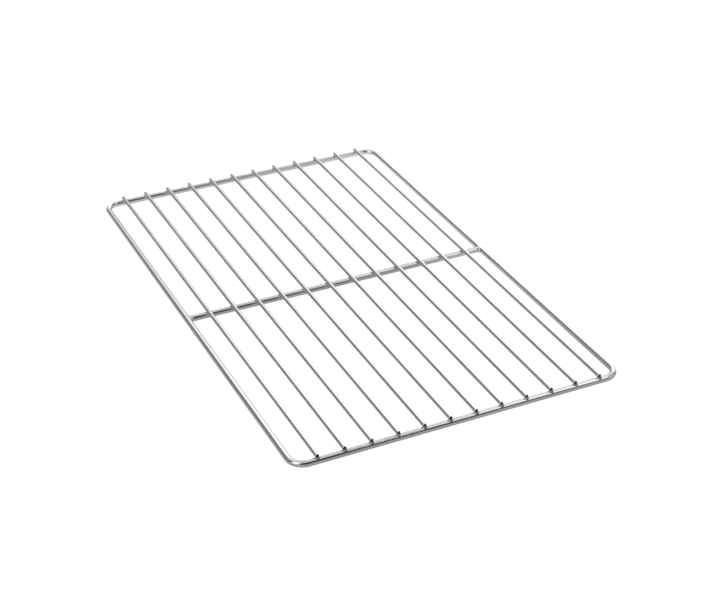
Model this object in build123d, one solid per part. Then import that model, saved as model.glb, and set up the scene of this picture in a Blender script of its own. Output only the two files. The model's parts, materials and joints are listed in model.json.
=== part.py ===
from build123d import *
import math
import os

# A flat cooling rack: a bent rod frame, a cross bar at mid-length, and a row of lengthwise
# wires welded on top of them. X runs across the short side, Y along the long side, Z up.
# The origin is on the surface that the rack rests on, at the middle of its outline.

# Overall size over the frame, which is the full-size gastronorm format
rack_length = 530.0
rack_width = 325.0

# Round rod of the frame and of the cross bar
rod_diameter = 6.0
corner_radius = 14.0  # of the frame's bends, to the rod's centre line

# Lengthwise wires
wire_diameter = 4.0
wire_count = 12
edge_wire_inset = 24.25  # from the rack's outer edge to the first wire's centre line
wire_bedding = 0.4  # how deep its welds press a wire into the rods
front_overhang = 0.0  # of a wire past the centre line of the front rod
rear_overhang = 2.2  # of a wire past the centre line of the rear rod
wire_end_chamfer = 0.3

# Butt weld that closes the frame, in its front side
butt_weld_gap = 3  # it sits midway between this wire, counted from the left, and the next
butt_weld_length = 2.4
butt_weld_crown = 0.1  # how far the dressed weld stands out of the rod
butt_weld_lift = 0.05  # it is ground back to this height over the resting surface

# Fillet welds at the two ends of the cross bar
root_gap = 0.5  # between the bar's square end and the side rod
bar_weld_leg = 2.5  # how far the weld runs along the bar
bar_weld_spread = 2.2  # how far it runs along the side rod, each side of the bar
bar_weld_recess = 0.6  # how far it stays below the rods' top and above their underside
bar_weld_overlap = 0.2  # how far its thin end starts inside the bar

# Resistance welds where the wires cross the rods
spot_spread = 0.25  # how far the weld metal stands out beside a wire
spot_rise = 0.8  # how far it climbs above the rods' top

# Derived places
rod_radius = rod_diameter / 2
wire_radius = wire_diameter / 2
side_x = rack_width / 2 - rod_radius
end_y = rack_length / 2 - rod_radius
wire_z = rod_diameter + wire_radius - wire_bedding
wire_pitch = (rack_width - 2 * edge_wire_inset) / (wire_count - 1)
wire_places = [wire_pitch * (k - (wire_count - 1) / 2) for k in range(wire_count)]
butt_weld_x = wire_places[butt_weld_gap - 1] + wire_pitch / 2


def rod_along_x(length, radius, x, y, z):
    """A round rod of this length, centred on the point."""
    return Pos(x, y, z) * Rot(0, 90, 0) * Cylinder(radius, length)


def rod_along_y(length, radius, x, y, z):
    return Pos(x, y, z) * Rot(90, 0, 0) * Cylinder(radius, length)


def make_wire(x):
    """One wire with its two ends cropped and slightly broken."""
    length = 2 * end_y + front_overhang + rear_overhang
    middle_y = (rear_overhang - front_overhang) / 2
    wire = rod_along_y(length, wire_radius, x, middle_y, wire_z)
    return chamfer(wire.edges().filter_by(GeomType.CIRCLE), wire_end_chamfer)


def frame_path():
    """The rod's centre line, from one side of the butt weld round to the other."""
    half_gap = butt_weld_length / 2
    points = [
        (butt_weld_x + half_gap, -end_y, rod_radius),
        (side_x, -end_y, rod_radius),
        (side_x, end_y, rod_radius),
        (-side_x, end_y, rod_radius),
        (-side_x, -end_y, rod_radius),
        (butt_weld_x - half_gap, -end_y, rod_radius),
    ]
    return FilletPolyline(*points, radius=corner_radius)


def make_frame_rod(wires):
    """The bent rod, with the shallow seats that the wires press into it."""
    path = frame_path()
    section = Plane(origin=path @ 0, z_dir=path % 0) * Circle(rod_radius)
    return sweep(section, path=path) - wires


def make_butt_weld():
    """A crowned plug between the rod's two ends, ground flush outside and nearly flush underneath."""
    half_gap = butt_weld_length / 2
    left_rim = (-half_gap, rod_radius)
    right_rim = (half_gap, rod_radius)
    with BuildPart() as weld:
        with BuildSketch(Plane.XY):
            with BuildLine():
                ThreePointArc(left_rim, (0, rod_radius + butt_weld_crown), right_rim)
                Polyline(right_rim, (half_gap, 0), (-half_gap, 0), left_rim)
            make_face()
        revolve(axis=Axis.X)
    plug = Pos(butt_weld_x, -end_y, rod_radius) * weld.part
    reach = 2 * rod_diameter
    kept = Box(reach, reach, reach, align=(Align.CENTER, Align.MIN, Align.MIN))
    return plug & Pos(butt_weld_x, -rack_length / 2, butt_weld_lift) * kept


def make_cross_bar(wires):
    length = 2 * (side_x - rod_radius - root_gap)
    return rod_along_x(length, rod_radius, 0, 0, rod_radius) - wires


def make_bar_weld(side, cross_bar):
    """The fillet weld round one end of the cross bar; side is -1 on the left and 1 on the right."""
    inner_face = side_x - rod_radius
    thin_end = inner_face - root_gap - bar_weld_leg
    cone = Cone(rod_radius - bar_weld_overlap, rod_radius + bar_weld_spread, inner_face - thin_end)
    collar = Pos((thin_end + inner_face) / 2, 0, rod_radius) * Rot(0, 90, 0) * cone
    collar += rod_along_x(rod_radius, rod_radius + bar_weld_spread, side_x - rod_radius / 2, 0, rod_radius)
    slab_height = rod_diameter - 2 * bar_weld_recess
    collar &= Pos(side_x - rod_radius, 0, rod_radius) * Box(4 * rod_diameter, 4 * rod_diameter, slab_height)
    if side < 0:
        collar = mirror(collar, about=Plane.YZ)
    return collar - rod_along_y(rack_length, rod_radius, side * side_x, 0, rod_radius) - cross_bar


def make_spot_welds(y, wires):
    """A collar of weld metal at each wire that crosses the rod at this y."""
    foot_radius = (rod_radius + wire_radius) / 2 + spot_spread
    rim_radius = wire_radius + spot_spread
    height = rod_radius + spot_rise
    rod = rod_along_x(rack_width, rod_radius, 0, y, rod_radius)
    welds = []
    for x, wire in zip(wire_places, wires):
        collar = Pos(x, y, rod_radius + height / 2) * Cone(foot_radius, rim_radius, height)
        welds.append(collar - rod - wire)
    return welds


def write(name, shape):
    os.makedirs("parts", exist_ok=True)
    if isinstance(shape, list):
        shape = Compound(children=[solid for piece in shape for solid in piece.solids()])
    shape.label = name
    export_step(shape, f"parts/{name}.step")


wires = [make_wire(x) for x in wire_places]
frame_rod = make_frame_rod(wires)
cross_bar = make_cross_bar(wires)

rod_length = frame_path().length
plain_volume = math.pi * rod_radius ** 2 * rod_length
print("frame rod length", round(rod_length, 1))
print("frame rod volume", round(frame_rod.volume), "against section times length", round(plain_volume))

write("frame_rod", frame_rod)
write("frame_butt_weld", make_butt_weld())
write("cross_bar", cross_bar)
write("cross_bar_weld_left", make_bar_weld(-1, cross_bar))
write("cross_bar_weld_right", make_bar_weld(1, cross_bar))
for number, wire in enumerate(wires, start=1):
    write(f"grid_wire_{number:02d}", wire)
write("wire_welds_front", make_spot_welds(-end_y, wires))
write("wire_welds_middle", make_spot_welds(0, wires))
write("wire_welds_rear", make_spot_welds(end_y, wires))
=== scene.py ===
import json
import math
import random

import bmesh
import bpy
from mathutils import Matrix, Vector, noise

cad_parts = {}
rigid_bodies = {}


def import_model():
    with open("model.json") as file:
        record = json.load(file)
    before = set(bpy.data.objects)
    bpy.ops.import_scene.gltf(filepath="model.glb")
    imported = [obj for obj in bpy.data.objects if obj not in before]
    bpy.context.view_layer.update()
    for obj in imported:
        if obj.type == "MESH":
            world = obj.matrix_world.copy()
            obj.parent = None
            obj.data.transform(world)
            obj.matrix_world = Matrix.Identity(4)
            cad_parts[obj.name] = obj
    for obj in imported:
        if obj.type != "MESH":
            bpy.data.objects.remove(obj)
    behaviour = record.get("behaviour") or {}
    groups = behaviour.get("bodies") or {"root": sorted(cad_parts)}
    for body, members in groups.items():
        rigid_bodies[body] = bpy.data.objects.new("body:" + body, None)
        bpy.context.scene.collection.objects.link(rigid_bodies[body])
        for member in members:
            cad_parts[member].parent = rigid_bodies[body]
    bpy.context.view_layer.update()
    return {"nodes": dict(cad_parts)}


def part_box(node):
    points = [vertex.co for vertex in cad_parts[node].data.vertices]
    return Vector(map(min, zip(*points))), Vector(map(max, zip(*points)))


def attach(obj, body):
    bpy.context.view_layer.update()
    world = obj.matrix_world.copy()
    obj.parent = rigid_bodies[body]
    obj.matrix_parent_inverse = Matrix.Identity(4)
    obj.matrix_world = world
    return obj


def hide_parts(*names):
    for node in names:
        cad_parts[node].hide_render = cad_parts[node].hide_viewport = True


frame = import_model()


def middleOf(node):
    low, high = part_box(node)
    return (low + high) / 2


frameLow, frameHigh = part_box("frame_rod")
barLow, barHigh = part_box("cross_bar")
rodRadius = (frameHigh.z - frameLow.z) / 2
sideX = frameHigh.x - rodRadius  # centre lines of the long sides
endY = frameHigh.y - rodRadius  # centre lines of the short sides
rodZ = frameLow.z + rodRadius
wireNodes = sorted(name for name in frame["nodes"] if name.startswith("grid_wire_"))
wireLow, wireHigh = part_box(wireNodes[0])
wireRadius = (wireHigh.z - wireLow.z) / 2
wireZ = wireHigh.z - wireRadius
wireXs = [middleOf(name).x for name in wireNodes]
buttX = middleOf("frame_butt_weld").x
print("frame read:", len(frame["nodes"]), "nodes")


def startTree(name, kind, inputs, outputs):
    # inputs and outputs are (name, socket type, value)
    tree = bpy.data.node_groups.new(name, kind)
    for direction, sockets in (("INPUT", inputs), ("OUTPUT", outputs)):
        for label, socketType, value in sockets:
            socket = tree.interface.new_socket(label, in_out=direction, socket_type=socketType)
            if value is not None:
                socket.default_value = value
    return tree


def addNode(tree, kind, links=None, **settings):
    # links: input name or number -> a value, or an output socket to join
    node = tree.nodes.new(kind)
    for key, value in settings.items():
        setattr(node, key, value)
    for key, value in (links or {}).items():
        if isinstance(value, bpy.types.NodeSocket):
            tree.links.new(value, node.inputs[key])
        else:
            node.inputs[key].default_value = value
    return node


def sums(tree, operation, first, second=0.0, third=0.0, clamp=False):
    links = {0: first, 1: second}
    if operation == "MULTIPLY_ADD":
        links[2] = third
    return addNode(tree, "ShaderNodeMath", links, operation=operation, use_clamp=clamp).outputs[0]


def ramp(tree, value, low, high, fromValue=0.0, toValue=1.0, smooth=True):
    kind = "SMOOTHSTEP" if smooth else "LINEAR"
    links = {0: value, 1: low, 2: high, 3: fromValue, 4: toValue}
    return addNode(tree, "ShaderNodeMapRange", links, interpolation_type=kind).outputs[0]


def blendColour(tree, factor, first, second):
    node = addNode(tree, "ShaderNodeMix", data_type="RGBA")
    for index, value in ((0, factor), (6, first), (7, second)):
        if isinstance(value, bpy.types.NodeSocket):
            tree.links.new(value, node.inputs[index])
        else:
            node.inputs[index].default_value = value
    return node.outputs[2]


def scaled(tree, vector, scale):
    return addNode(tree, "ShaderNodeVectorMath", {0: vector, 1: scale}, operation="MULTIPLY").outputs[0]


def stretchedNoise(tree, vector, scale, detail):
    place = scaled(tree, vector, scale)
    links = {"Vector": place, "Scale": 1.0, "Detail": detail}
    return addNode(tree, "ShaderNodeTexNoise", links).outputs["Fac"]


def blend(tree, factor, first, second):
    return addNode(tree, "ShaderNodeMix", {0: factor, 2: first, 3: second}, data_type="FLOAT").outputs[0]


def grey(value, warmth=0.0):
    return (value * (1 + warmth), value, value * (1 - warmth), 1.0)


# How finely each pattern repeats: along the bar, then the two sides round it
patternScales = {
    "dieMarks": (6.0, 2600.0, 2600.0),
    "blotches": (22.0, 150.0, 150.0),
    "scratches": (900.0, 260.0, 260.0),
    "discFlats": (240.0, 330.0, 330.0),
    "discPatches": (420.0, 90.0, 90.0),
}


def makeDrawnGrain():
    # Lengthwise die marks, soft blotches and handling scratches of drawn, polished bar.
    # Line is a straightened position: along the bar, then the two sides round it, in metres.
    tree = startTree("drawnGrain", "ShaderNodeTree", [
        ("Line", "NodeSocketVector", None),
        ("Die Marks", "NodeSocketFloat", 0.5),
        ("Blotches", "NodeSocketFloat", 0.5),
        ("Scratches", "NodeSocketFloat", 0.5),
        ("Smoothest", "NodeSocketFloat", 0.14),
        ("Dullest", "NodeSocketFloat", 0.30),
        ("Light", "NodeSocketColor", grey(0.62)),
        ("Dark", "NodeSocketColor", grey(0.48)),
    ], [
        ("Colour", "NodeSocketColor", None),
        ("Roughness", "NodeSocketFloat", None),
        ("Height", "NodeSocketFloat", None),
    ])
    start = tree.nodes.new("NodeGroupInput").outputs
    line = start["Line"]
    marks = stretchedNoise(tree, line, patternScales["dieMarks"], 3.0)
    blotch = stretchedNoise(tree, line, patternScales["blotches"], 4.0)
    scratch = stretchedNoise(tree, line, patternScales["scratches"], 2.0)
    scratch = ramp(tree, scratch, 0.62, 0.78)
    scratch = sums(tree, "MULTIPLY", scratch, start["Scratches"])
    marked = sums(tree, "MULTIPLY", marks, start["Die Marks"])
    blotched = ramp(tree, blotch, 0.38, 0.68)
    blotched = sums(tree, "MULTIPLY", blotched, start["Blotches"])
    shade = sums(tree, "MULTIPLY_ADD", marked, 0.45, blotched, clamp=True)
    colour = blendColour(tree, shade, start["Light"], start["Dark"])
    dull = sums(tree, "MULTIPLY_ADD", blotched, 0.6, sums(tree, "MULTIPLY", scratch, 0.7))
    dull = sums(tree, "MULTIPLY_ADD", marked, 0.25, dull, clamp=True)
    rough = ramp(tree, dull, 0.0, 1.0, start["Smoothest"], start["Dullest"], smooth=False)
    height = sums(tree, "MULTIPLY_ADD", scratch, -0.8, marked)
    end = tree.nodes.new("NodeGroupOutput").inputs
    tree.links.new(colour, end["Colour"])
    tree.links.new(rough, end["Roughness"])
    tree.links.new(height, end["Height"])
    return tree


def makeHandGrind():
    # Small flats left by a grinding disc. Place is measured from the middle of the dressed stretch.
    tree = startTree("handGrind", "ShaderNodeTree", [
        ("Place", "NodeSocketVector", None),
        ("Half Length", "NodeSocketFloat", 0.028),
    ], [
        ("Mask", "NodeSocketFloat", None),
        ("Height", "NodeSocketFloat", None),
    ])
    start = tree.nodes.new("NodeGroupInput").outputs
    away = addNode(tree, "ShaderNodeVectorMath", {0: start["Place"]}, operation="LENGTH").outputs["Value"]
    share = sums(tree, "DIVIDE", away, start["Half Length"])
    reach = ramp(tree, share, 0.80, 1.0, 1.0, 0.0)
    flats = stretchedNoise(tree, start["Place"], patternScales["discFlats"], 1.0)
    patch = stretchedNoise(tree, start["Place"], patternScales["discPatches"], 1.0)
    patch = ramp(tree, patch, 0.44, 0.58)
    mask = sums(tree, "MULTIPLY", reach, patch, clamp=True)
    height = sums(tree, "MULTIPLY", flats, reach)
    end = tree.nodes.new("NodeGroupOutput").inputs
    tree.links.new(mask, end["Mask"])
    tree.links.new(height, end["Height"])
    return tree


drawnGrain = makeDrawnGrain()
handGrind = makeHandGrind()


def emptyMaterial(name):
    material = bpy.data.materials.new(name)
    material.use_nodes = True
    tree = material.node_tree
    tree.nodes.clear()
    surface = tree.nodes.new("ShaderNodeOutputMaterial").inputs["Surface"]
    return material, tree, surface


def startMaterial(name, metallic=1.0):
    material, tree, surface = emptyMaterial(name)
    shader = addNode(tree, "ShaderNodeBsdfPrincipled", {"Metallic": metallic})
    tree.links.new(shader.outputs[0], surface)
    return material, tree, shader


def addBump(tree, shader, height, depth):
    bump = addNode(tree, "ShaderNodeBump", {"Strength": 1.0, "Distance": depth, "Height": height})
    tree.links.new(bump.outputs["Normal"], shader.inputs["Normal"])


def makeBarSteel(name, look):
    # Polished drawn steel on anything that has a barLine attribute
    material, tree, shader = startMaterial(name)
    line = addNode(tree, "ShaderNodeAttribute", attribute_name="barLine").outputs["Vector"]
    grain = addNode(tree, "ShaderNodeGroup", node_tree=drawnGrain)
    tree.links.new(line, grain.inputs["Line"])
    for key in ("Die Marks", "Blotches", "Scratches", "Smoothest", "Dullest", "Light", "Dark"):
        grain.inputs[key].default_value = look[key]
    colour, rough, height = (grain.outputs[key] for key in ("Colour", "Roughness", "Height"))
    if "dressedAt" in look:
        place = addNode(tree, "ShaderNodeTexCoord").outputs["Object"]
        links = {0: place, 1: look["dressedAt"]}
        place = addNode(tree, "ShaderNodeVectorMath", links, operation="SUBTRACT").outputs[0]
        ground = addNode(tree, "ShaderNodeGroup", {"Place": place}, node_tree=handGrind)
        ground.inputs["Half Length"].default_value = look["dressedLength"] / 2
        rough = sums(tree, "MULTIPLY_ADD", ground.outputs["Mask"], look["dressedDull"], rough, clamp=True)
        height = sums(tree, "MULTIPLY_ADD", ground.outputs["Height"], look["dressedDepth"], height)
    tree.links.new(colour, shader.inputs["Base Color"])
    tree.links.new(rough, shader.inputs["Roughness"])
    addBump(tree, shader, height, look["depth"])
    return material


def makeMottledSteel(name, look):
    # Weld metal and cropped ends, patterned on their place in the rack
    material, tree, shader = startMaterial(name)
    place = addNode(tree, "ShaderNodeTexCoord").outputs["Object"]
    fine = stretchedNoise(tree, place, (look["grain"],) * 3, 4.0)
    broad = stretchedNoise(tree, place, (look["grain"] * 0.22,) * 3, 2.0)
    shade = ramp(tree, broad, 0.35, 0.65)
    colour = blendColour(tree, shade, look["light"], look["dark"])
    tree.links.new(colour, shader.inputs["Base Color"])
    mixed = sums(tree, "MULTIPLY_ADD", fine, 0.5, sums(tree, "MULTIPLY", shade, 0.5))
    rough = ramp(tree, mixed, 0.2, 0.8, look["smoothest"], look["dullest"])
    tree.links.new(rough, shader.inputs["Roughness"])
    addBump(tree, shader, fine, look["depth"])
    return material


rodLook = {
    "Die Marks": 0.5, "Blotches": 0.45, "Scratches": 0.5,
    "Smoothest": 0.13, "Dullest": 0.27,
    "Light": grey(0.63, 0.004), "Dark": grey(0.52, 0.008),
    "depth": 0.00002,
    "dressedAt": (buttX, -endY, rodZ), "dressedLength": 0.082, "dressedDepth": 9.0,
    "dressedDull": 0.24,  # how much duller the disc left its marks
}
wireLook = {
    "Die Marks": 0.55, "Blotches": 0.4, "Scratches": 0.4,
    "Smoothest": 0.15, "Dullest": 0.28,
    "Light": grey(0.62, 0.004), "Dark": grey(0.51, 0.008),
    "depth": 0.000012,
}
# Spot weld metal: partly its own darker weld colour, partly painted shade. It is made darker to stand for
# the shade at the front wire ends and for the wires' dark reflections beside the rear crossings.
weldAndShadeLook = {
    "light": grey(0.42, 0.012), "dark": grey(0.26, 0.03), "grain": 1400.0,
    "smoothest": 0.26, "dullest": 0.46, "depth": 0.00008,
}
dressedLook = {
    "light": grey(0.60, 0.008), "dark": grey(0.50, 0.015), "grain": 900.0,
    "smoothest": 0.24, "dullest": 0.40, "depth": 0.00002,
}
cropLook = {
    "light": grey(0.10, 0.01), "dark": grey(0.04, 0.02), "grain": 2600.0,
    "smoothest": 0.38, "dullest": 0.62, "depth": 0.00008,
}
rodSteel = makeBarSteel("polishedRod", rodLook)
wireSteel = makeBarSteel("polishedWire", wireLook)
# the spot welds' colour carries painted shade as well as weld metal
weldAndShadeSteel = makeMottledSteel("weldMetalAndShade", weldAndShadeLook)
dressedSteel = makeMottledSteel("dressedWeld", dressedLook)
cropSteel = makeMottledSteel("croppedEnd", cropLook)
print("materials made")


def settle(tree, name, values, source=None):
    # Runs a geometry tree and keeps its result as a plain mesh piece
    if source is None:
        source = bpy.data.meshes.new(name + "Seed")
    holder = bpy.data.objects.new(name + "Holder", source)
    bpy.context.scene.collection.objects.link(holder)
    modifier = holder.modifiers.new("shape", "NODES")
    modifier.node_group = tree
    for item in tree.interface.items_tree:
        if item.item_type == "SOCKET" and item.in_out == "INPUT" and item.name in values:
            modifier[item.identifier] = values[item.name]
    graph = bpy.context.evaluated_depsgraph_get()
    shaped = holder.evaluated_get(graph)
    mesh = bpy.data.meshes.new_from_object(shaped, preserve_all_data_layers=True, depsgraph=graph)
    bpy.data.objects.remove(holder)
    mesh.name = name
    piece = bpy.data.objects.new(name, mesh)
    bpy.context.scene.collection.objects.link(piece)
    return piece


def finishPiece(piece, slot, *nodes):
    shell = bmesh.new()
    shell.from_mesh(piece.data)
    bmesh.ops.remove_doubles(shell, verts=shell.verts, dist=1e-7)
    bmesh.ops.recalc_face_normals(shell, faces=shell.faces)
    shell.to_mesh(piece.data)
    shell.free()
    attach(piece, "root")
    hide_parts(*nodes)


def geometryInputs(*extra):
    return [("Geometry", "NodeSocketGeometry", None), *extra]


def store(tree, geometry, name, value, kind):
    links = {"Geometry": geometry, "Name": name, "Value": value}
    node = addNode(tree, "GeometryNodeStoreNamedAttribute", links, data_type=kind, domain="POINT")
    return node.outputs[0]


def recall(tree, name, kind):
    node = addNode(tree, "GeometryNodeInputNamedAttribute", {"Name": name}, data_type=kind)
    return node.outputs["Attribute"]


def sweepRound(tree, curve, radius, sides, width=1.0):
    # Sweeps a round section along a curve and stores barLine, the straightened position
    along = addNode(tree, "GeometryNodeSplineParameter").outputs["Length"]
    curve = store(tree, curve, "along", along, "FLOAT")
    links = {"Resolution": sides, "Radius": radius}
    circle = addNode(tree, "GeometryNodeCurvePrimitiveCircle", links, mode="RADIUS")
    spot = addNode(tree, "GeometryNodeInputPosition").outputs[0]
    circle = store(tree, circle.outputs[0], "aroundBar", spot, "FLOAT_VECTOR")
    links = {"Curve": curve, "Profile Curve": circle, "Fill Caps": True, "Scale": width}
    bar = addNode(tree, "GeometryNodeCurveToMesh", links).outputs[0]
    parts = addNode(tree, "ShaderNodeSeparateXYZ", {0: recall(tree, "aroundBar", "FLOAT_VECTOR")}).outputs
    links = {0: recall(tree, "along", "FLOAT"), 1: parts[0], 2: parts[1]}
    line = addNode(tree, "ShaderNodeCombineXYZ", links).outputs[0]
    return store(tree, bar, "barLine", line, "FLOAT_VECTOR")


def endTree(tree, mesh, material):
    real = addNode(tree, "GeometryNodeRealizeInstances", {"Geometry": mesh}).outputs[0]
    smooth = addNode(tree, "GeometryNodeSetShadeSmooth", {"Geometry": real}).outputs[0]
    painted = addNode(tree, "GeometryNodeSetMaterial", {"Geometry": smooth, "Material": material}).outputs[0]
    return painted


def makeRodTree():
    # A round rod along the piece's own path, with every corner of the path bent to one radius
    tree = startTree("bentRod", "GeometryNodeTree", geometryInputs(
        ("Rod Radius", "NodeSocketFloat", 0.003),
        ("Bend Radius", "NodeSocketFloat", 0.014),
        ("Bend Steps", "NodeSocketInt", 20),
        ("Sides", "NodeSocketInt", 64),
        ("Material", "NodeSocketMaterial", None),
    ), [("Geometry", "NodeSocketGeometry", None)])
    start = tree.nodes.new("NodeGroupInput").outputs
    path = addNode(tree, "GeometryNodeFilletCurve", {"Curve": start["Geometry"]})
    path.mode = "POLY"
    tree.links.new(start["Bend Radius"], path.inputs["Radius"])
    tree.links.new(start["Bend Steps"], path.inputs["Count"])
    rod = sweepRound(tree, path.outputs[0], start["Rod Radius"], start["Sides"])
    end = tree.nodes.new("NodeGroupOutput")
    tree.links.new(endTree(tree, rod, start["Material"]), end.inputs[0])
    return tree


def pathCurve(name, points):
    curve = bpy.data.curves.new(name, "CURVE")
    curve.dimensions = "3D"
    spline = curve.splines.new("POLY")
    spline.points.add(len(points) - 1)
    for target, point in zip(spline.points, points):
        target.co = (*point, 1.0)
    return curve


rodTree = makeRodTree()

frameSizes = {
    "bendRadius": 0.014,
    "bendSteps": 20,
    "sides": 64,
    "buttGap": 0.0024,
}


def makeFrameRod(sizes):
    half = sizes["buttGap"] / 2
    corners = [(sideX, -endY), (sideX, endY), (-sideX, endY), (-sideX, -endY)]
    points = [(buttX + half, -endY, rodZ)]
    points += [(x, y, rodZ) for x, y in corners]
    points += [(buttX - half, -endY, rodZ)]
    piece = settle(rodTree, "frameRod", {
        "Rod Radius": rodRadius, "Bend Radius": sizes["bendRadius"], "Bend Steps": sizes["bendSteps"],
        "Sides": sizes["sides"], "Material": rodSteel,
    }, pathCurve("framePath", points))
    finishPiece(piece, "rod_steel", "frame_rod")


def makeCrossBar(sizes):
    y = (barLow.y + barHigh.y) / 2
    z = (barLow.z + barHigh.z) / 2
    points = [(barLow.x, y, z), (0.0, y, z), (barHigh.x, y, z)]
    piece = settle(rodTree, "crossBar", {
        "Rod Radius": (barHigh.z - barLow.z) / 2, "Bend Radius": 0.0, "Bend Steps": 1,
        "Sides": sizes["sides"], "Material": rodSteel,
    }, pathCurve("barPath", points))
    finishPiece(piece, "rod_steel", "cross_bar")


makeFrameRod(frameSizes)
makeCrossBar(frameSizes)
print("frame and cross bar bent")


wireSizes = {
    "steps": 140,
    "sides": 40,
    "bow": 0.00012,  # how far a wire wanders from straight
    "bowScale": 2.4,
    "bevel": 0.0003,  # edge broken at the cropped ends
    "seedStep": 3.7,
    "endFacing": 0.92,  # a face that looks this squarely along the wire is a cropped end
}


def makeWireTree(sizes):
    # A straight wire whose points crowd towards its two cropped ends
    tree = startTree("gridWire", "GeometryNodeTree", geometryInputs(
        ("Start", "NodeSocketVector", None),
        ("End", "NodeSocketVector", None),
        ("Wire Radius", "NodeSocketFloat", 0.002),
        ("Bevel", "NodeSocketFloat", 0.0003),
        ("Bow", "NodeSocketFloat", 0.0001),
        ("Seed", "NodeSocketFloat", 0.0),
        ("Steps", "NodeSocketInt", 140),
        ("Sides", "NodeSocketInt", 40),
        ("Material", "NodeSocketMaterial", None),
        ("End Material", "NodeSocketMaterial", None),
    ), [("Geometry", "NodeSocketGeometry", None)])
    start = tree.nodes.new("NodeGroupInput").outputs
    links = {"Start": start["Start"], "End": start["End"]}
    line = addNode(tree, "GeometryNodeCurvePrimitiveLine", links).outputs[0]
    links = {"Curve": line, "Count": start["Steps"]}
    line = addNode(tree, "GeometryNodeResampleCurve", links).outputs[0]
    share = addNode(tree, "GeometryNodeSplineParameter").outputs["Factor"]
    crowded = sums(tree, "COSINE", sums(tree, "MULTIPLY", share, math.pi))
    crowded = sums(tree, "MULTIPLY_ADD", crowded, -0.5, 0.5)
    place = addNode(tree, "ShaderNodeMix", {"Factor": crowded}, data_type="VECTOR", factor_mode="UNIFORM")
    tree.links.new(start["Start"], place.inputs[4])
    tree.links.new(start["End"], place.inputs[5])
    links = {"Vector": place.outputs[1], "W": start["Seed"], "Scale": sizes["bowScale"], "Detail": 1.0}
    wander = addNode(tree, "ShaderNodeTexNoise", links, noise_dimensions="4D").outputs["Fac"]
    held = sums(tree, "SINE", sums(tree, "MULTIPLY", share, 2 * math.pi))  # still at the ends and the bar
    reach = sums(tree, "MULTIPLY", held, start["Bow"])
    aside = sums(tree, "MULTIPLY", sums(tree, "SUBTRACT", wander, 0.5), reach)
    shift = addNode(tree, "ShaderNodeCombineXYZ", {0: aside}).outputs[0]
    links = {0: place.outputs[1], 1: shift}
    placed = addNode(tree, "ShaderNodeVectorMath", links, operation="ADD").outputs[0]
    line = addNode(tree, "GeometryNodeSetPosition", {"Geometry": line, "Position": placed}).outputs[0]
    # thinner over the last fraction of a millimetre
    run = addNode(tree, "GeometryNodeSplineParameter").outputs["Length"]
    whole = addNode(tree, "GeometryNodeSplineLength").outputs["Length"]
    left = sums(tree, "SUBTRACT", whole, run)
    toEnd = sums(tree, "MINIMUM", run, left)
    narrow = sums(tree, "DIVIDE", start["Bevel"], start["Wire Radius"])
    narrow = sums(tree, "SUBTRACT", 1.0, narrow)
    width = ramp(tree, toEnd, 0.0, start["Bevel"], narrow, 1.0)
    line = addNode(tree, "GeometryNodeSetCurveRadius", {"Curve": line, "Radius": width}).outputs[0]
    radius = addNode(tree, "GeometryNodeInputRadius").outputs[0]
    wire = sweepRound(tree, line, start["Wire Radius"], start["Sides"], radius)
    wire = endTree(tree, wire, start["Material"])
    facing = addNode(tree, "GeometryNodeInputNormal").outputs[0]
    lengthwise = addNode(tree, "ShaderNodeSeparateXYZ", {0: facing}).outputs[1]
    cropped = sums(tree, "GREATER_THAN", sums(tree, "ABSOLUTE", lengthwise), sizes["endFacing"])
    links = {"Geometry": wire, "Selection": cropped, "Material": start["End Material"]}
    wire = addNode(tree, "GeometryNodeSetMaterial", links).outputs[0]
    end = tree.nodes.new("NodeGroupOutput")
    tree.links.new(wire, end.inputs[0])
    return tree


def makeWire(tree, number, node, sizes):
    low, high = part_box(node)
    x = (low.x + high.x) / 2
    piece = settle(tree, f"gridWire_{number:02d}", {
        "Start": (x, low.y, wireZ), "End": (x, high.y, wireZ), "Wire Radius": wireRadius,
        "Bevel": sizes["bevel"], "Bow": sizes["bow"], "Seed": number * sizes["seedStep"],
        "Steps": sizes["steps"], "Sides": sizes["sides"],
        "Material": wireSteel, "End Material": cropSteel,
    })
    finishPiece(piece, "wire_steel", node)


wireTree = makeWireTree(wireSizes)
for number, node in enumerate(wireNodes, start=1):
    makeWire(wireTree, number, node, wireSizes)
print("wires laid:", len(wireNodes))


spotSizes = {
    # half width of the foot along the rod
    "besideWire": {"front": 0.0024, "middle": 0.0029, "rear": 0.0030},
    "climb": 0.0018,  # half width of the rim on the wire
    # the same two, measured across the rod
    "acrossRod": {"front": 0.0023, "middle": 0.0019, "rear": 0.0019},
    "rimAcross": {"front": 0.0020, "middle": 0.0017, "rear": 0.0017},
    "steps": 36,
    "rings": 5,
    "unevenness": 0.10,
    "widestRim": 1.04,  # most that the rim may swell
    "hollow": 0.55,  # how far the bead sinks into the corner, 0 is a flat slope
    "cornerDip": 0.0002,
    "variants": 5,
    "seeds": {"front": 11, "middle": 23, "rear": 42},
}


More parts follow.
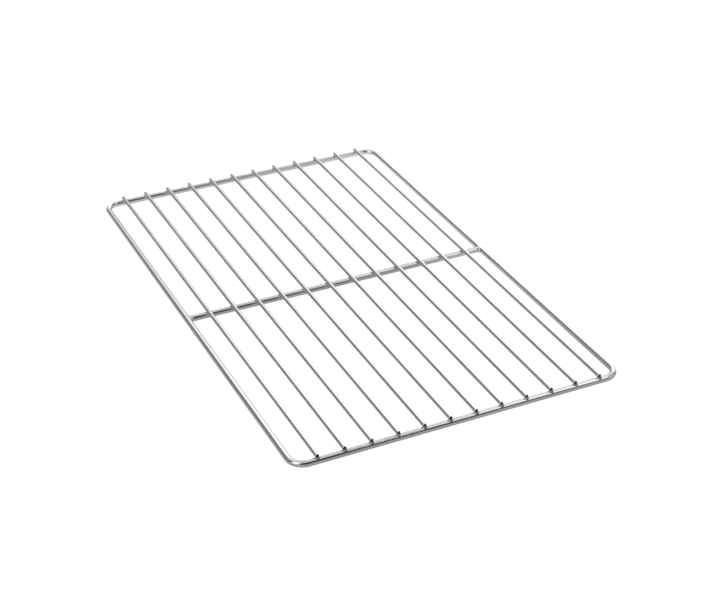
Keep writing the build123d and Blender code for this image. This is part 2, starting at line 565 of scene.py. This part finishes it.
def spotBead(name, sizes, rod, seed):
    # Metal squeezed out between a wire and the rod under it, with the crossing at the origin
    # and the rod's top at height 0. Each ring runs from the wire down to the rod.
    dice = random.Random(seed)
    drift = dice.uniform(0, 50)
    wireUp = wireZ - (rodZ + rodRadius)
    cornerX = math.sqrt(wireRadius ** 2 - wireUp ** 2)
    cornerY = math.sqrt(rodRadius ** 2 - (rodRadius + wireUp - wireRadius) ** 2)
    shell = bmesh.new()
    rings = [[] for _ in range(sizes["rings"] + 1)]
    for step in range(sizes["steps"]):
        turn = 2 * math.pi * step / sizes["steps"]
        c, s = math.cos(turn), math.sin(turn)
        wave = noise.noise(Vector((c * 1.6 + drift, s * 1.6, seed * 1.3)))
        swell = 1 + sizes["unevenness"] * 2 * wave
        x, y = sizes["climb"] * c * min(swell, sizes["widestRim"]), sizes["rimAcross"][rod] * s * swell
        rim = Vector((x, y, wireUp - math.sqrt(wireRadius ** 2 - x * x)))
        x, y = sizes["besideWire"][rod] * c * swell, sizes["acrossRod"][rod] * s * swell
        foot = Vector((x, y, math.sqrt(rodRadius ** 2 - y * y) - rodRadius))
        corner = Vector((cornerX * c, cornerY * s, -sizes["cornerDip"] * abs(s)))
        pull = rim.lerp(foot, 0.5).lerp(corner, sizes["hollow"])
        for ring, row in enumerate(rings):
            t = ring / sizes["rings"]
            row.append(shell.verts.new(rim.lerp(pull, t).lerp(pull.lerp(foot, t), t)))
    inside = shell.verts.new((0, 0, wireUp * 0.6))
    under = shell.verts.new((0, 0, -rodRadius * 0.5))
    count = sizes["steps"]
    for step in range(count):
        after = (step + 1) % count
        for upper, lower in zip(rings, rings[1:]):
            shell.faces.new((upper[step], lower[step], lower[after], upper[after]))
        shell.faces.new((inside, rings[0][step], rings[0][after]))
        shell.faces.new((under, rings[-1][after], rings[-1][step]))
    bmesh.ops.recalc_face_normals(shell, faces=shell.faces)
    mesh = bpy.data.meshes.new(name)
    shell.to_mesh(mesh)
    shell.free()
    return mesh


def makeSpotTree(kinds):
    # One bead at every crossing of a rod, chosen and turned end for end at random
    tree = startTree("spotWelds", "GeometryNodeTree", geometryInputs(
        ("Count", "NodeSocketInt", 12),
        ("First", "NodeSocketVector", None),
        ("Pitch", "NodeSocketFloat", 0.025),
        ("Seed", "NodeSocketInt", 1),
        ("Smallest", "NodeSocketFloat", 0.94),
        ("Beads", "NodeSocketCollection", None),
        ("Material", "NodeSocketMaterial", None),
    ), [("Geometry", "NodeSocketGeometry", None)])
    start = tree.nodes.new("NodeGroupInput").outputs
    step = addNode(tree, "ShaderNodeCombineXYZ", {0: start["Pitch"]}).outputs[0]
    links = {"Count": start["Count"], "Start Location": start["First"], "Offset": step}
    row = addNode(tree, "GeometryNodeMeshLine", links, mode="OFFSET", count_mode="TOTAL").outputs[0]
    links = {"Collection": start["Beads"], "Separate Children": True, "Reset Children": True}
    beads = addNode(tree, "GeometryNodeCollectionInfo", links).outputs[0]
    pick = addNode(tree, "FunctionNodeRandomValue", {"Seed": start["Seed"]}, data_type="INT")
    pick.inputs[4].default_value = 0
    pick.inputs[5].default_value = kinds - 1
    later = sums(tree, "ADD", start["Seed"], 7.0)
    half = addNode(tree, "FunctionNodeRandomValue", {"Seed": later}, data_type="INT")
    half.inputs[4].default_value = 0
    half.inputs[5].default_value = 1
    halfTurn = sums(tree, "MULTIPLY", half.outputs[2], math.pi)
    turn = addNode(tree, "ShaderNodeCombineXYZ", {2: halfTurn}).outputs[0]
    later = sums(tree, "ADD", start["Seed"], 19.0)
    size = addNode(tree, "FunctionNodeRandomValue", {"Seed": later}, data_type="FLOAT")
    tree.links.new(start["Smallest"], size.inputs[2])
    size.inputs[3].default_value = 1.0
    placed = addNode(tree, "GeometryNodeInstanceOnPoints", {
        "Points": row, "Instance": beads, "Pick Instance": True, "Instance Index": pick.outputs[2],
        "Rotation": turn}).outputs[0]
    wide = addNode(tree, "ShaderNodeCombineXYZ", {0: size.outputs[1], 1: 1.0, 2: 1.0}).outputs[0]
    placed = addNode(tree, "GeometryNodeScaleInstances", {"Instances": placed, "Scale": wide}).outputs[0]
    end = tree.nodes.new("NodeGroupOutput")
    tree.links.new(endTree(tree, placed, start["Material"]), end.inputs[0])
    return tree


def makeSpotWelds(sizes):
    tree = makeSpotTree(sizes["variants"])
    pitch = wireXs[1] - wireXs[0]
    top = rodZ + rodRadius
    for rod, y in (("front", -endY), ("middle", 0.0), ("rear", endY)):
        drawer = bpy.data.collections.new("beadKinds")
        for kind in range(sizes["variants"]):
            mesh = spotBead(f"bead_{kind}", sizes, rod, kind + 1)
            drawer.objects.link(bpy.data.objects.new(f"bead_{kind}", mesh))
        piece = settle(tree, "spotWelds_" + rod, {
            "Count": len(wireXs), "First": (wireXs[0], y, top), "Pitch": pitch,
            "Seed": sizes["seeds"][rod],
            "Beads": drawer, "Material": weldAndShadeSteel,
        })
        finishPiece(piece, "weld_steel", "wire_welds_" + rod)
        for item in list(drawer.objects):
            bpy.data.objects.remove(item)
        bpy.data.collections.remove(drawer)


barWeldSizes = {
    "leg": 0.0026,  # along the bar
    "spread": 0.0023,  # along the side rod
    "steps": 72,
    "rings": 8,
    "ripples": 17,
    "rippleDepth": 0.00006,
    "rippleDrift": 4,
    "rippleToward": (-0.5, 0.6, 0.3),
    "unevenness": 0.22,
    "footHeight": 0.93,  # of the rod's radius
    "cornerHeight": 0.97,
    "hollow": 0.5,
}


def makeBarWeld(side, node, sizes):
    # The fillet round one end of the cross bar, from the bar's skin to the side rod's
    name = "barWeld_left" if side < 0 else "barWeld_right"
    dice = random.Random(5 + side)
    drift = dice.uniform(0, 40)
    inner = sideX - rodRadius
    aside, out, upward = sizes["rippleToward"]
    shell = bmesh.new()
    rings = [[] for _ in range(sizes["rings"] + 1)]
    for step in range(sizes["steps"]):
        turn = 2 * math.pi * step / sizes["steps"]
        c, s = math.cos(turn), math.sin(turn)
        wave = noise.noise(Vector((c * 1.4 + drift, s * 1.4, 0.3)))
        swell = 1 + sizes["unevenness"] * wave
        start = Vector((inner - sizes["leg"] * swell, rodRadius * c, rodRadius * s))
        up = rodRadius * sizes["footHeight"] * s
        reach = rodRadius + sizes["spread"] * swell
        foot = Vector((sideX - math.sqrt(rodRadius ** 2 - up ** 2), reach * c, up))
        corner = Vector((inner, rodRadius * c, rodRadius * sizes["cornerHeight"] * s))
        pull = start.lerp(foot, 0.5).lerp(corner, sizes["hollow"])
        ripple = sizes["rippleDepth"] * math.sin(turn * sizes["ripples"] + wave * sizes["rippleDrift"])
        for ring, row in enumerate(rings):
            t = ring / sizes["rings"]
            point = start.lerp(pull, t).lerp(pull.lerp(foot, t), t)
            lift = math.sin(math.pi * t) * ripple
            point += Vector((aside, c * out, s * upward)) * lift
            point.z = min(max(point.z, -rodRadius), rodRadius)
            row.append(shell.verts.new((point.x * side, point.y, point.z + rodZ)))
    near = shell.verts.new(((inner - sizes["leg"]) * side, 0, rodZ))
    deep = shell.verts.new((sideX * side, 0, rodZ))
    count = sizes["steps"]
    for step in range(count):
        after = (step + 1) % count
        for upper, lower in zip(rings, rings[1:]):
            shell.faces.new((upper[step], lower[step], lower[after], upper[after]))
        shell.faces.new((near, rings[0][step], rings[0][after]))
        shell.faces.new((deep, rings[-1][after], rings[-1][step]))
    for face in shell.faces:
        face.smooth = True
    mesh = bpy.data.meshes.new(name)
    shell.to_mesh(mesh)
    shell.free()
    mesh.materials.append(dressedSteel)
    piece = bpy.data.objects.new(name, mesh)
    bpy.context.scene.collection.objects.link(piece)
    finishPiece(piece, "weld_steel", node)


buttSizes = {
    "halfLength": 0.0017,
    "crown": 0.00006,
    "steps": 96,
    "rings": 12,
    "unevenness": 0.00003,
    "sunk": 0.00003,  # how far its rims lie under the rod's skin
    "edgeWander": 0.16,
    "lift": 0.00005,  # height of the ground flat over the resting surface
}


def makeButtWeld(sizes):
    # A low bead over the rod's joint, ground flat where it would touch a runner or the table
    shell = bmesh.new()
    rings = []
    for ring in range(sizes["rings"] + 1):
        t = 2 * ring / sizes["rings"] - 1
        row = []
        for step in range(sizes["steps"]):
            turn = 2 * math.pi * step / sizes["steps"]
            c, s = math.cos(turn), math.sin(turn)
            wave = noise.noise(Vector((c * 2.2 + 9.0, s * 2.2, t * 1.7)))
            fine = noise.noise(Vector((c * 7.0, s * 7.0 + 4.0, t * 5.0)))
            bulge = (1 - t * t) * sizes["crown"] - sizes["sunk"]
            radius = rodRadius + bulge + (wave + 0.4 * fine) * sizes["unevenness"] * (1 - t * t)
            edge = 1 + sizes["edgeWander"] * noise.noise(Vector((c * 1.3, s * 1.3, 7.7)))
            x = buttX + t * sizes["halfLength"] * edge
            y = max(radius * c - endY, frameLow.y)
            z = max(radius * s + rodZ, sizes["lift"])
            row.append(shell.verts.new((x, y, z)))
        rings.append(row)
    count = sizes["steps"]
    for step in range(count):
        after = (step + 1) % count
        for row, nextRow in zip(rings, rings[1:]):
            shell.faces.new((row[step], nextRow[step], nextRow[after], row[after]))
    shell.faces.new(rings[0])
    shell.faces.new(list(reversed(rings[-1])))
    for face in shell.faces:
        face.smooth = len(face.verts) == 4
    mesh = bpy.data.meshes.new("buttWeld")
    shell.to_mesh(mesh)
    shell.free()
    mesh.materials.append(dressedSteel)
    piece = bpy.data.objects.new("buttWeld", mesh)
    bpy.context.scene.collection.objects.link(piece)
    finishPiece(piece, "weld_steel", "frame_butt_weld")


makeSpotWelds(spotSizes)
makeBarWeld(-1, "cross_bar_weld_left", barWeldSizes)
makeBarWeld(1, "cross_bar_weld_right", barWeldSizes)
makeButtWeld(buttSizes)
print("welds run")


studio = {
    "floorSize": 9.0,
    "floorWhite": 0.90,
    # how bright the floor looks in the steel, and how much is added at the rear and on the right; the dimmer
    # front and left are painted shade, standing for the rack's shadow on the floor
    "floorInSteel": 0.33,
    "floorRear": 0.30,
    "floorRight": 0.25,
    "overhead": 2.5,
    "overheadLeft": 0.95,  # straight above, rising to the next towards the right
    "overheadRight": 1.55,
    "overheadRear": 1.5,
    "overheadFront": 0.2,  # share added towards the front, on the right
    "rightWall": 2.2,
    "leftWall": 0.37,
    "frontWall": 0.05,
    "frontLow": 0.50,
    "frontLowRight": 0.66,
    # the dark wall in front gives way to the overhead light along a slanting line
    "slantTurn": 25.0,  # degrees forward of straight up
    "slantSlide": 0.63,
    "slantStart": 0.08,
    "slantEnd": 0.37,
    "slantSharpness": 3.0,
    "wallTopFront": 0.88,  # how steeply one looks up to the top of the front wall, 1 is straight up
    "wallTopBack": 0.55,
    # where the rear wall ends overhead, in degrees left of straight up, steeply and flatly seen
    "wallTurnNear": -6.0,
    "wallTurnFar": -15.0,
    "rearLow": 0.35,  # a dim strip low on the rear wall
    "leftCard": 2.2,
    "leftCardToward": (-0.79, -0.35, 0.50),
    "topCard": 1.9,
    "topCardToward": (-0.46, -0.12, 0.88),
    "topCardRim": 0.93,
    "leftCardRim": 0.90,
    "cardSoftness": 0.05,
    # where each part of the light starts and is full: on the floor in metres, else in the direction looked
    "fades": {
        "floorRear": (0.02, 0.27),
        "floorRight": (0.05, 0.17),
        "floorRightDepth": (-0.22, 0.0),
        "backWall": (0.0, 0.6),
        "wallTop": (-0.06, 0.06),
        "wallTurn": (0.745, 0.83),
        "rearTop": (-0.22, 0.22),
        "rearTopDepth": (0.55, 0.65),
        "overheadRight": (0.30, 0.50),
        "overheadFront": (0.29, 0.36),
        "overheadFrontDepth": (-0.05, 0.14),
        "overheadRear": (0.76, 0.85),
        "overheadRearDepth": (0.55, 0.75),
        "frontLow": (0.10, 0.28),
        "frontLowRight": (0.38, 0.46),
        "rightWall": (0.25, 0.45),
        "slantLeft": (0.15, 0.24),
        "slantRight": (0.50, 0.58),
        "slantDepth": (0.30, 0.55),
        "rearLow": (0.28, 0.40),
        "rearLowDepth": (0.60, 0.75),
        "rearLowRight": (0.46, 0.56),
        "rearLowLeft": (0.15, 0.25),
    },
}


def fade(tree, value, name, fromValue=0.0, toValue=1.0, smooth=True):
    low, high = studio["fades"][name]
    return ramp(tree, value, low, high, fromValue, toValue, smooth)


def makeFloor(sizes):
    bpy.ops.mesh.primitive_plane_add(size=sizes["floorSize"], location=(0, 0, 0))
    floor = bpy.context.object
    floor.name = "floor"
    floor.location.z = -0.00002
    material, tree, shader = startMaterial("paleFloor", metallic=0.0)
    shader.inputs["Roughness"].default_value = 0.9
    shader.inputs["Specular IOR Level"].default_value = 0.0
    speck = addNode(tree, "ShaderNodeTexNoise", {"Scale": 220.0, "Detail": 3.0})
    tone = ramp(tree, speck.outputs["Fac"], 0.3, 0.7, 0.30, 0.31)
    colour = addNode(tree, "ShaderNodeCombineColor", {0: tone, 1: tone, 2: tone}).outputs[0]
    tree.links.new(colour, shader.inputs["Base Color"])
    seen = addNode(tree, "ShaderNodeLightPath").outputs["Is Camera Ray"]
    place = addNode(tree, "ShaderNodeTexCoord").outputs["Object"]
    x, y, z = addNode(tree, "ShaderNodeSeparateXYZ", {0: place}).outputs
    # painted shade: the glow the steel sees is dimmer at the front and on the left, standing for the rack's
    # shadow on the floor by the rods
    rear = fade(tree, y, "floorRear", 0.0, sizes["floorRear"])
    right = fade(tree, x, "floorRight", 0.0, sizes["floorRight"])
    right = sums(tree, "MULTIPLY", right, fade(tree, y, "floorRightDepth"))
    reflected = sums(tree, "ADD", sums(tree, "ADD", rear, right), sizes["floorInSteel"])
    glow = blend(tree, seen, reflected, sizes["floorWhite"])
    shader.inputs["Emission Color"].default_value = (1, 1, 1, 1)
    tree.links.new(glow, shader.inputs["Emission Strength"])
    floor.data.materials.append(material)


def makeWorld(sizes):
    # A soft tent: bright overhead and on the right, mid-grey on the left, dark behind the camera
    world = bpy.data.worlds.new("softStudio")
    bpy.context.scene.world = world
    world.use_nodes = True
    tree = world.node_tree
    tree.nodes.clear()
    toward = addNode(tree, "ShaderNodeTexCoord").outputs["Generated"]
    x, y, z = addNode(tree, "ShaderNodeSeparateXYZ", {0: toward}).outputs
    back = fade(tree, y, "backWall")
    topEdge = blend(tree, back, sizes["wallTopFront"], sizes["wallTopBack"])
    high = fade(tree, sums(tree, "SUBTRACT", z, topEdge), "wallTop")
    turn = sums(tree, "ARCTAN2", x, z)
    nearTurn, farTurn = math.radians(sizes["wallTurnNear"]), math.radians(sizes["wallTurnFar"])
    turnEdge = fade(tree, y, "wallTurn", nearTurn, farTurn, smooth=False)
    highRear = fade(tree, sums(tree, "SUBTRACT", turn, turnEdge), "rearTop")
    high = blend(tree, fade(tree, y, "rearTopDepth"), high, highRear)
    over = fade(tree, x, "overheadRight", sizes["overheadLeft"], sizes["overheadRight"], smooth=False)
    more = fade(tree, y, "overheadFrontDepth", 1.0, 0.0)
    more = sums(tree, "MULTIPLY", fade(tree, x, "overheadFront"), more)
    more = sums(tree, "MULTIPLY_ADD", more, sizes["overheadFront"], 1.0)
    over = sums(tree, "MULTIPLY", over, more)
    behind = fade(tree, y, "overheadRear", sizes["overhead"], sizes["overheadRear"])
    over = blend(tree, fade(tree, y, "overheadRearDepth"), over, behind)
    frontLow = fade(tree, x, "frontLowRight", sizes["frontLow"], sizes["frontLowRight"])
    front = blend(tree, fade(tree, z, "frontLow"), frontLow, sizes["frontWall"])
    wall = blend(tree, back, front, sizes["leftWall"])
    right = sums(tree, "MULTIPLY", fade(tree, x, "rightWall"), back)
    wall = blend(tree, right, wall, sizes["rightWall"])
    level = blend(tree, high, wall, over)
    tilt = sums(tree, "ARCTAN2", sums(tree, "MULTIPLY", y, -1.0), z)
    tilt = sums(tree, "SUBTRACT", tilt, math.radians(sizes["slantTurn"]))
    slant = sums(tree, "MULTIPLY_ADD", tilt, -sizes["slantSlide"], x)
    slant = ramp(tree, slant, sizes["slantStart"], sizes["slantEnd"], smooth=False)
    slant = sums(tree, "POWER", slant, sizes["slantSharpness"])
    there = fade(tree, y, "slantDepth", 1.0, 0.0)
    there = sums(tree, "MULTIPLY", fade(tree, x, "slantLeft"), there)
    there = sums(tree, "MULTIPLY", there, fade(tree, x, "slantRight", 1.0, 0.0))
    level = blend(tree, there, level, blend(tree, slant, front, over))
    low = fade(tree, z, "rearLow", 1.0, 0.0)
    low = sums(tree, "MULTIPLY", low, fade(tree, y, "rearLowDepth"))
    low = sums(tree, "MULTIPLY", low, fade(tree, x, "rearLowRight", 1.0, 0.0))
    low = sums(tree, "MULTIPLY", low, fade(tree, x, "rearLowLeft"))
    level = blend(tree, low, level, sizes["rearLow"])
    for name in ("topCard", "leftCard"):
        rim = sizes[name + "Rim"]
        links = {0: toward, 1: Vector(sizes[name + "Toward"]).normalized()}
        near = addNode(tree, "ShaderNodeVectorMath", links, operation="DOT_PRODUCT").outputs["Value"]
        level = blend(tree, ramp(tree, near, rim, rim + sizes["cardSoftness"]), level, sizes[name])
    glow = addNode(tree, "ShaderNodeBackground", {"Strength": level})
    output = tree.nodes.new("ShaderNodeOutputWorld")
    tree.links.new(glow.outputs[0], output.inputs["Surface"])


cardSizes = {
    "left": 0.03,
    "right": 1.30,
    "notchStart": 0.40,  # a dark strip across it
    "notchEnd": 0.46,
    "notchSoft": (0.7, 1.1),  # of its half width
    "low": 0.02,
    "high": 0.80,
    "front": -0.35,  # where it stands, in front of the rack
    "fullBy": 0.345,  # how far right it reaches full strength
    "full": 1.0,
    "sharpness": 2.2,
}


def makeCard(sizes):
    # A clear glowing card in front of the right half that only the steel sees
    left, right, y = sizes["left"], sizes["right"], sizes["front"]
    corners = [(x, y, z) for x, z in (
        (left, sizes["low"]), (right, sizes["low"]), (right, sizes["high"]), (left, sizes["high"]))]
    mesh = bpy.data.meshes.new("rightCard")
    mesh.from_pydata(corners, [], [(0, 1, 2, 3)])
    card = bpy.data.objects.new("rightCard", mesh)
    bpy.context.scene.collection.objects.link(card)
    card.visible_camera = False
    card.visible_shadow = False
    card.visible_diffuse = False
    material, tree, surface = emptyMaterial("cardGlow")
    place = addNode(tree, "ShaderNodeTexCoord").outputs["Object"]
    x = addNode(tree, "ShaderNodeSeparateXYZ", {0: place}).outputs[0]
    share = ramp(tree, x, left, sizes["fullBy"], smooth=False)
    glow = sums(tree, "POWER", share, sizes["sharpness"])
    glow = sums(tree, "MULTIPLY", glow, sizes["full"])
    middle = (sizes["notchStart"] + sizes["notchEnd"]) / 2
    half = (sizes["notchEnd"] - sizes["notchStart"]) / 2
    dark, bright = sizes["notchSoft"]
    aside = sums(tree, "ABSOLUTE", sums(tree, "SUBTRACT", x, middle))
    glow = sums(tree, "MULTIPLY", glow, ramp(tree, aside, half * dark, half * bright))
    shine = addNode(tree, "ShaderNodeEmission", {"Strength": glow}).outputs[0]
    clear = addNode(tree, "ShaderNodeBsdfTransparent").outputs[0]
    both = addNode(tree, "ShaderNodeAddShader", {0: shine, 1: clear}).outputs[0]
    tree.links.new(both, surface)
    mesh.materials.append(material)


camera = {
    "place": (-0.55625, -1.26971, 0.80750),
    "turn": 25.658,  # degrees to the right of straight along the wires
    "dip": 30.683,
    "roll": -0.206,
    "lens": 81.71,
    "shift": (-0.04654, -0.01020),
}


def makeCamera(sizes):
    data = bpy.data.cameras.new("camera")
    data.sensor_width = 36.0
    data.lens = sizes["lens"]
    data.shift_x, data.shift_y = sizes["shift"]
    data.clip_start = 0.05
    item = bpy.data.objects.new("camera", data)
    turn = Matrix.Rotation(math.radians(-sizes["turn"]), 4, "Z")
    dip = Matrix.Rotation(math.radians(90 - sizes["dip"]), 4, "X")
    roll = Matrix.Rotation(math.radians(sizes["roll"]), 4, "Z")
    item.matrix_world = Matrix.Translation(sizes["place"]) @ turn @ dip @ roll
    bpy.context.scene.collection.objects.link(item)
    bpy.context.scene.camera = item


makeFloor(studio)
makeWorld(studio)
makeCard(cardSizes)
makeCamera(camera)
bpy.context.scene.view_settings.view_transform = "Standard"
print("studio set")
